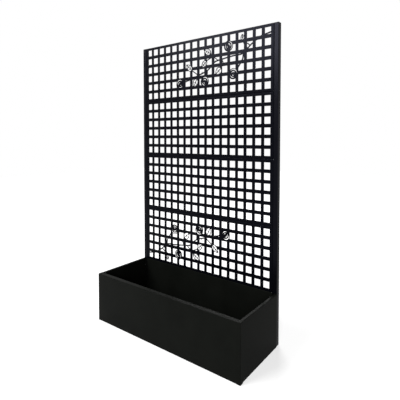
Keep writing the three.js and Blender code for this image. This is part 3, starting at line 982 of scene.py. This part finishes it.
def screw_mesh(length):
    """A pan-head screw with a cross recess. It stands on Z, with its head above z = 0."""
    mesh = turned(screw_profile(length))
    join(mesh, recessed_top())
    bmesh.ops.remove_doubles(mesh, verts=mesh.verts, dist=SCREW_WELD)
    bmesh.ops.recalc_face_normals(mesh, faces=mesh.faces)
    return mesh


def nut_mesh():
    """A hexagon nut on z = 0, with a bore."""
    corner = NUT_FLATS / math.sqrt(3)
    outline = ring(Vector((0, 0)), corner, 6)
    bore = ring(Vector((0, 0)), THREAD_RADIUS + BORE_PLAY, ROUND_SIDES)
    mesh = flat_sheet(outline, [bore])
    turn(mesh, 90, "X")
    pull(mesh, bmesh.ops.extrude_face_region(mesh, geom=mesh.faces[:]), UP * NUT_HEIGHT)
    bmesh.ops.recalc_face_normals(mesh, faces=mesh.faces)
    return mesh


def place_fastener(node, mesh, axis, point, material):
    """A fastener stands at a point, its Z axis turned to the given one."""
    rotation = UP.rotation_difference(axis).to_matrix()
    bmesh.ops.rotate(mesh, verts=mesh.verts, matrix=rotation)
    shift(mesh, point)
    piece = add_piece(f"{node}_steel", mesh, material, node)
    round_edges(piece, FASTENER_EDGE)


def add_screw(node, axis, material):
    """A screw or bolt whose head points along an axis."""
    low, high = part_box(node)
    middle = (low + high) / 2
    whole = abs((high - low).dot(axis))
    under_head = middle + axis * (whole / 2 - HEAD_HEIGHT)
    place_fastener(node, screw_mesh(whole - HEAD_HEIGHT), axis, under_head, material)


def add_nut(node, axis, material):
    low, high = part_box(node)
    middle = (low + high) / 2
    place_fastener(node, nut_mesh(), axis, middle - axis * NUT_HEIGHT / 2, material)


def add_fasteners(material):
    """Every screw, bolt and nut. A node's name says what it is and which way it points."""
    for node in sorted(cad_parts):
        inwards = ACROSS if "left" in node else -ACROSS
        if node.endswith("_bolt"):
            add_screw(node, UP, material)
        elif node.endswith("_nut"):
            add_nut(node, UP, material)
        elif "_corner_nut_" in node:
            add_nut(node, inwards, material)
        elif "_side_panel_screw_" in node:
            add_screw(node, -BACKWARDS, material)
        elif "_screw_" in node:
            add_screw(node, inwards, material)


# ---------------------------------------------------------------- materials

# Powder coat
PEEL_SIZE = 1.6 * MM  # orange peel
GRIT_SIZE = 0.25 * MM
CLOUD_SIZE = 90 * MM
DARKEST = 0.85  # share of the coat's colour in a dark cloud
PALEST = 1.2  # and in a pale one
CLOUD_GLOSS = 0.02  # how far the clouds change the roughness, either way
GRIT_GLOSS = 0.03

BOX_COAT = {
    "colour": (0.0044, 0.0049, 0.0041),
    "roughness": 0.42,
    "specular": 0.017,
    "gloss_tint": (1, 1, 1),
}
LATTICE_COAT = {
    "colour": (0.0015, 0.0016, 0.0027),
    "roughness": 0.3,
    "specular": 0.032,
    "gloss_tint": (0.7, 0.72, 1),
}
POST_COAT = {
    "colour": (0.0015, 0.0016, 0.0025),
    "roughness": 0.3,
    "specular": 0.055,
    "gloss_tint": (0.74, 0.75, 1),
}

# Plastic
PLASTIC_DARK = (0.008, 0.008, 0.009)
PLASTIC_PALE = (0.011, 0.011, 0.012)
PLASTIC_GRAIN = 0.4 * MM
PLASTIC_FLOW = 12 * MM  # faint streaks from moulding

# Steel
STEEL_BLACK = (0.02, 0.02, 0.022)
STEEL_RUBBED = (0.06, 0.06, 0.062)
RUB_SIZE = 2.5 * MM
STEEL_GRAIN = 0.15 * MM


class Nodes:
    """A small helper that adds and links the nodes of one material."""

    def __init__(self, tree):
        self.tree = tree
        self.tree.nodes.clear()

    def add(self, kind, inputs=None, **settings):
        node = self.tree.nodes.new(kind)
        for name, value in settings.items():
            setattr(node, name, value)
        for name, value in (inputs or {}).items():
            if isinstance(value, bpy.types.NodeSocket):
                self.tree.links.new(value, node.inputs[name])
            else:
                node.inputs[name].default_value = value
        return node


def new_material(name):
    material = bpy.data.materials.new(name)
    material.use_nodes = True
    return material, Nodes(material.node_tree)


def noise(nodes, place, size, detail=2.0):
    """Noise whose lumps are about the given size across, around 0.5."""
    made = nodes.add(
        "ShaderNodeTexNoise",
        {"Vector": place, "Scale": 1 / size, "Detail": detail, "Roughness": 0.5},
    )
    return made.outputs["Fac"]


def spread(nodes, value, low, high):
    """Noise spread over a range."""
    made = nodes.add(
        "ShaderNodeMapRange",
        {"Value": value, "From Min": 0.3, "From Max": 0.7, "To Min": low, "To Max": high},
    )
    return made.outputs["Result"]


def blend(nodes, share, first, second):
    made = nodes.add("ShaderNodeMix", data_type="RGBA")
    nodes.tree.links.new(share, made.inputs["Factor"])
    made.inputs["A"].default_value = (*first, 1)
    made.inputs["B"].default_value = (*second, 1)
    return made.outputs["Result"]


def powder_coat(name, colour, roughness, specular, gloss_tint):
    """Satin black powder coat: soft orange peel, fine grit and faint clouds."""
    material, nodes = new_material(name)
    place = nodes.add("ShaderNodeTexCoord").outputs["Object"]
    peel = noise(nodes, place, PEEL_SIZE)
    grit = noise(nodes, place, GRIT_SIZE)
    clouds = noise(nodes, place, CLOUD_SIZE, detail=4.0)
    dark = [channel * DARKEST for channel in colour]
    pale = [channel * PALEST for channel in colour]
    tint = blend(nodes, spread(nodes, clouds, 0, 1), dark, pale)
    cloudy = spread(nodes, clouds, -CLOUD_GLOSS, CLOUD_GLOSS)
    gritty = spread(nodes, grit, roughness - GRIT_GLOSS, roughness + GRIT_GLOSS)
    gloss = nodes.add("ShaderNodeMath", {0: cloudy, 1: gritty}, operation="ADD")
    coarse = nodes.add(
        "ShaderNodeBump",
        {"Height": peel, "Strength": 0.35, "Distance": 0.06 * MM},
    )
    fine = nodes.add(
        "ShaderNodeBump",
        {
            "Height": grit,
            "Strength": 0.25,
            "Distance": 0.02 * MM,
            "Normal": coarse.outputs["Normal"],
        },
    )
    shader = nodes.add(
        "ShaderNodeBsdfPrincipled",
        {
            "Base Color": tint,
            "Roughness": gloss.outputs[0],
            "Specular IOR Level": specular,
            "Specular Tint": (*gloss_tint, 1),
            "Normal": fine.outputs["Normal"],
        },
    )
    nodes.add("ShaderNodeOutputMaterial", {"Surface": shader.outputs["BSDF"]})
    return material


def moulded_plastic():
    """Matt black plastic with a fine spark-eroded grain."""
    material, nodes = new_material("moulded plastic")
    place = nodes.add("ShaderNodeTexCoord").outputs["Object"]
    grain = noise(nodes, place, PLASTIC_GRAIN)
    flow = noise(nodes, place, PLASTIC_FLOW)
    tint = blend(nodes, spread(nodes, flow, 0, 1), PLASTIC_DARK, PLASTIC_PALE)
    bump = nodes.add(
        "ShaderNodeBump",
        {"Height": grain, "Strength": 0.5, "Distance": 0.05 * MM},
    )
    shader = nodes.add(
        "ShaderNodeBsdfPrincipled",
        {
            "Base Color": tint,
            "Roughness": spread(nodes, grain, 0.5, 0.62),
            "Specular IOR Level": 0.3,
            "Normal": bump.outputs["Normal"],
        },
    )
    nodes.add("ShaderNodeOutputMaterial", {"Surface": shader.outputs["BSDF"]})
    return material


def blackened_steel():
    """Black oxide on steel, a little rubbed."""
    material, nodes = new_material("blackened steel")
    place = nodes.add("ShaderNodeTexCoord").outputs["Object"]
    rub = noise(nodes, place, RUB_SIZE, detail=5.0)
    grain = noise(nodes, place, STEEL_GRAIN)
    tint = blend(nodes, spread(nodes, rub, 0, 1), STEEL_BLACK, STEEL_RUBBED)
    bump = nodes.add(
        "ShaderNodeBump",
        {"Height": grain, "Strength": 0.3, "Distance": 0.02 * MM},
    )
    shader = nodes.add(
        "ShaderNodeBsdfPrincipled",
        {
            "Base Color": tint,
            "Metallic": 0.9,
            "Roughness": spread(nodes, rub, 0.32, 0.48),
            "Normal": bump.outputs["Normal"],
        },
    )
    nodes.add("ShaderNodeOutputMaterial", {"Surface": shader.outputs["BSDF"]})
    return material


# ---------------------------------------------------------------- studio

FLOOR_SIZE = 14
FLOOR_GLOW = 0.6  # what the camera sees near the object besides the light that falls on the floor
SHADOW_REACH = 1.5  # the glow rises to 1 beyond this distance
AMBIENT = 0.25  # level of the world's light on the object

# Metres and watts
SOFTBOXES = [
    {
        "name": "key",
        "place": (-1.14, -1.96, 2.18),
        "target": (0, 0.113, 1.1),
        "size": (1.7, 1.15),
        "power": 98,
    },
    {
        "name": "fill",
        "place": (1.0, -1.1, 0.7),
        "target": (0.3, -0.13, 0.12),
        "size": (0.4, 0.4),
        "power": 10,
    },
    {
        "name": "back",
        "place": (-1.2, 2.0, 1.7),
        "target": (0.2, 0, 0.2),
        "size": (1.2, 1.0),
        "power": 60,
    },
]


def seen_directly(nodes):
    """1 for what the camera sees, also in a gloss or through glass."""
    path = nodes.add("ShaderNodeLightPath")
    camera_or_gloss = nodes.add(
        "ShaderNodeMath",
        {0: path.outputs["Is Camera Ray"], 1: path.outputs["Is Glossy Ray"]},
        operation="MAXIMUM",
    )
    either = nodes.add(
        "ShaderNodeMath",
        {0: camera_or_gloss.outputs[0], 1: path.outputs["Is Transmission Ray"]},
        operation="MAXIMUM",
    )
    return either.outputs[0]


def add_world():
    world = bpy.data.worlds.new("studio")
    world.use_nodes = True
    nodes = Nodes(world.node_tree)
    light = nodes.add("ShaderNodeBackground", {"Color": (1, 1, 1, 1), "Strength": AMBIENT})
    white = nodes.add("ShaderNodeBackground", {"Color": (1, 1, 1, 1), "Strength": 1.0})
    mixed = nodes.add("ShaderNodeMixShader", {"Fac": seen_directly(nodes)})
    nodes.tree.links.new(light.outputs[0], mixed.inputs[1])
    nodes.tree.links.new(white.outputs[0], mixed.inputs[2])
    nodes.add("ShaderNodeOutputWorld", {"Surface": mixed.outputs[0]})
    bpy.context.scene.world = world


def pale_floor():
    """White to the camera far from the object. Near it, the floor shows the light and the shadow."""
    material, nodes = new_material("pale floor")
    paint = nodes.add("ShaderNodeBsdfDiffuse", {"Color": (0.5, 0.5, 0.5, 1)})
    place = nodes.add("ShaderNodeTexCoord").outputs["Object"]
    distance = nodes.add("ShaderNodeVectorMath", {0: place}, operation="LENGTH")
    brighter = nodes.add(
        "ShaderNodeMapRange",
        {
            "Value": distance.outputs["Value"],
            "From Min": SHADOW_REACH,
            "From Max": 2 * SHADOW_REACH,
            "To Min": FLOOR_GLOW,
            "To Max": 1.0,
        },
    )
    strength = nodes.add(
        "ShaderNodeMath",
        {0: brighter.outputs["Result"], 1: seen_directly(nodes)},
        operation="MULTIPLY",
    )
    glow = nodes.add(
        "ShaderNodeEmission",
        {"Color": (1, 1, 1, 1), "Strength": strength.outputs[0]},
    )
    both = nodes.add("ShaderNodeAddShader")
    nodes.tree.links.new(paint.outputs[0], both.inputs[0])
    nodes.tree.links.new(glow.outputs[0], both.inputs[1])
    nodes.add("ShaderNodeOutputMaterial", {"Surface": both.outputs[0]})
    return material


def add_floor():
    mesh = bmesh.new()
    bmesh.ops.create_grid(mesh, x_segments=1, y_segments=1, size=FLOOR_SIZE / 2)
    data = bpy.data.meshes.new("floor")
    mesh.to_mesh(data)
    mesh.free()
    data.materials.append(pale_floor())
    floor = bpy.data.objects.new("floor", data)
    bpy.context.scene.collection.objects.link(floor)


def add_softbox(name, place, target, size, power):
    lamp = bpy.data.lights.new(name, "AREA")
    lamp.shape = "RECTANGLE"
    lamp.size, lamp.size_y = size
    lamp.energy = power
    softbox = bpy.data.objects.new(name, lamp)
    bpy.context.scene.collection.objects.link(softbox)
    softbox.location = place
    towards = Vector(target) - Vector(place)
    softbox.rotation_euler = towards.to_track_quat("-Z", "Y").to_euler()


def add_lights():
    """A key at the front left, a small fill at the front right, and one that lights the rims."""
    for softbox in SOFTBOXES:
        add_softbox(**softbox)


# ---------------------------------------------------------------- camera

CAMERA_PLACE = (0.9757, -1.0051, 0.7789)
CAMERA_HEADING = 32.416  # degrees to the left of straight ahead
CAMERA_PITCH = 1.985  # degrees downwards
CAMERA_ROLL = 0.314
CAMERA_LENS = 30.70  # mm, on a sensor 36 mm wide
CAMERA_SHIFT = (-0.1348, -0.1170)


def add_camera():
    data = bpy.data.cameras.new("camera")
    data.sensor_width = 36
    data.lens = CAMERA_LENS
    data.shift_x, data.shift_y = CAMERA_SHIFT
    camera = bpy.data.objects.new("camera", data)
    bpy.context.scene.collection.objects.link(camera)
    camera.matrix_world = (
        Matrix.Translation(CAMERA_PLACE)
        @ Matrix.Rotation(math.radians(CAMERA_HEADING), 4, "Z")
        @ Matrix.Rotation(math.radians(90 - CAMERA_PITCH), 4, "X")
        @ Matrix.Rotation(math.radians(CAMERA_ROLL), 4, "Z")
    )
    bpy.context.scene.camera = camera


# ---------------------------------------------------------------- scene

bpy.context.scene.view_settings.view_transform = "Standard"
add_camera()
add_world()
add_floor()
add_lights()

box_coat = powder_coat("box coat", **BOX_COAT)
lattice_coat = powder_coat("lattice coat", **LATTICE_COAT)
post_coat = powder_coat("post coat", **POST_COAT)
plastic = moulded_plastic()
steel = blackened_steel()

add_front_panel(box_coat)
add_side_panel("left_side_panel", -1, box_coat)
add_side_panel("right_side_panel", 1, box_coat)
add_back_panel(box_coat)
add_floor_panel(box_coat)
add_trellis(lattice_coat)
for side in ("left", "right"):
    add_post(f"{side}_post", post_coat)
    add_plug(f"{side}_post_cap", plastic, up=True)
    add_plug(f"{side}_post_foot", plastic, up=False)
add_fasteners(steel)
